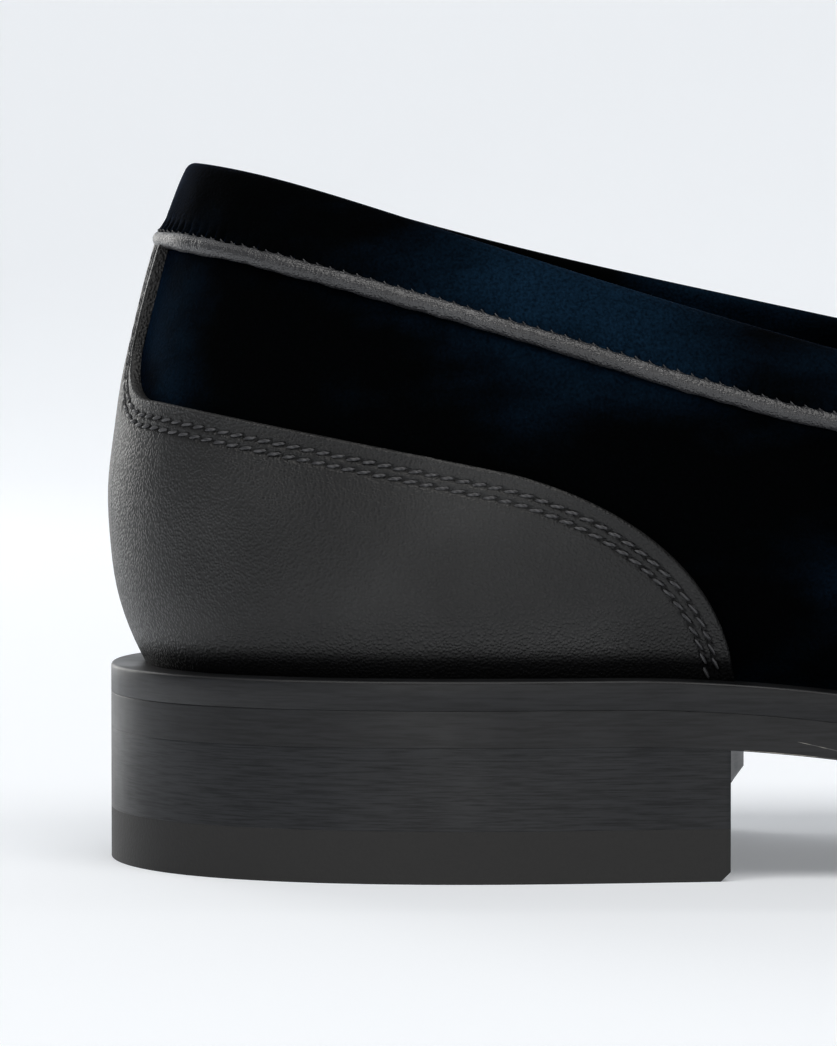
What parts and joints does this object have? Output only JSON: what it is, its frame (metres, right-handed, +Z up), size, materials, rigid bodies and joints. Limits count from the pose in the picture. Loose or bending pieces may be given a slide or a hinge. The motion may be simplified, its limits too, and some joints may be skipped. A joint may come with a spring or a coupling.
{
  "type": "velvet slipper loafer",
  "caption": "Right slip-on loafer with a velvet upper, folded velvet collar band, leather piping, stitched leather heel counter, welted leather sole and low stacked heel.",
  "frame": {"origin": "centre of the shoe's bounding box in plan, on the floor that it stands on", "axes": "+X from heel to toe, -Y towards the outer side of this right shoe, +Z up"},
  "size_m": [0.2984, 0.1076, 0.0822],
  "materials": {
    "velvet": "cut pile, midnight navy, blue sheen on folds",
    "black_calf": "fine pebbled grain, satin",
    "sole_edge": "dyed and burnished edge",
    "insole_leather": "smooth, matte",
    "heel_stack": "dyed stacked layers, fine horizontal lines",
    "heel_rubber": "matte"
  },
  "bodies": {
    "root": {"upper": "velvet", "collar": "velvet", "piping": "black_calf", "counter": "black_calf", "welt": "sole_edge", "insole": "insole_leather", "outsole": "sole_edge", "heel_block": "heel_stack", "top_lift": "heel_rubber"}
  },
  "joints": []
}
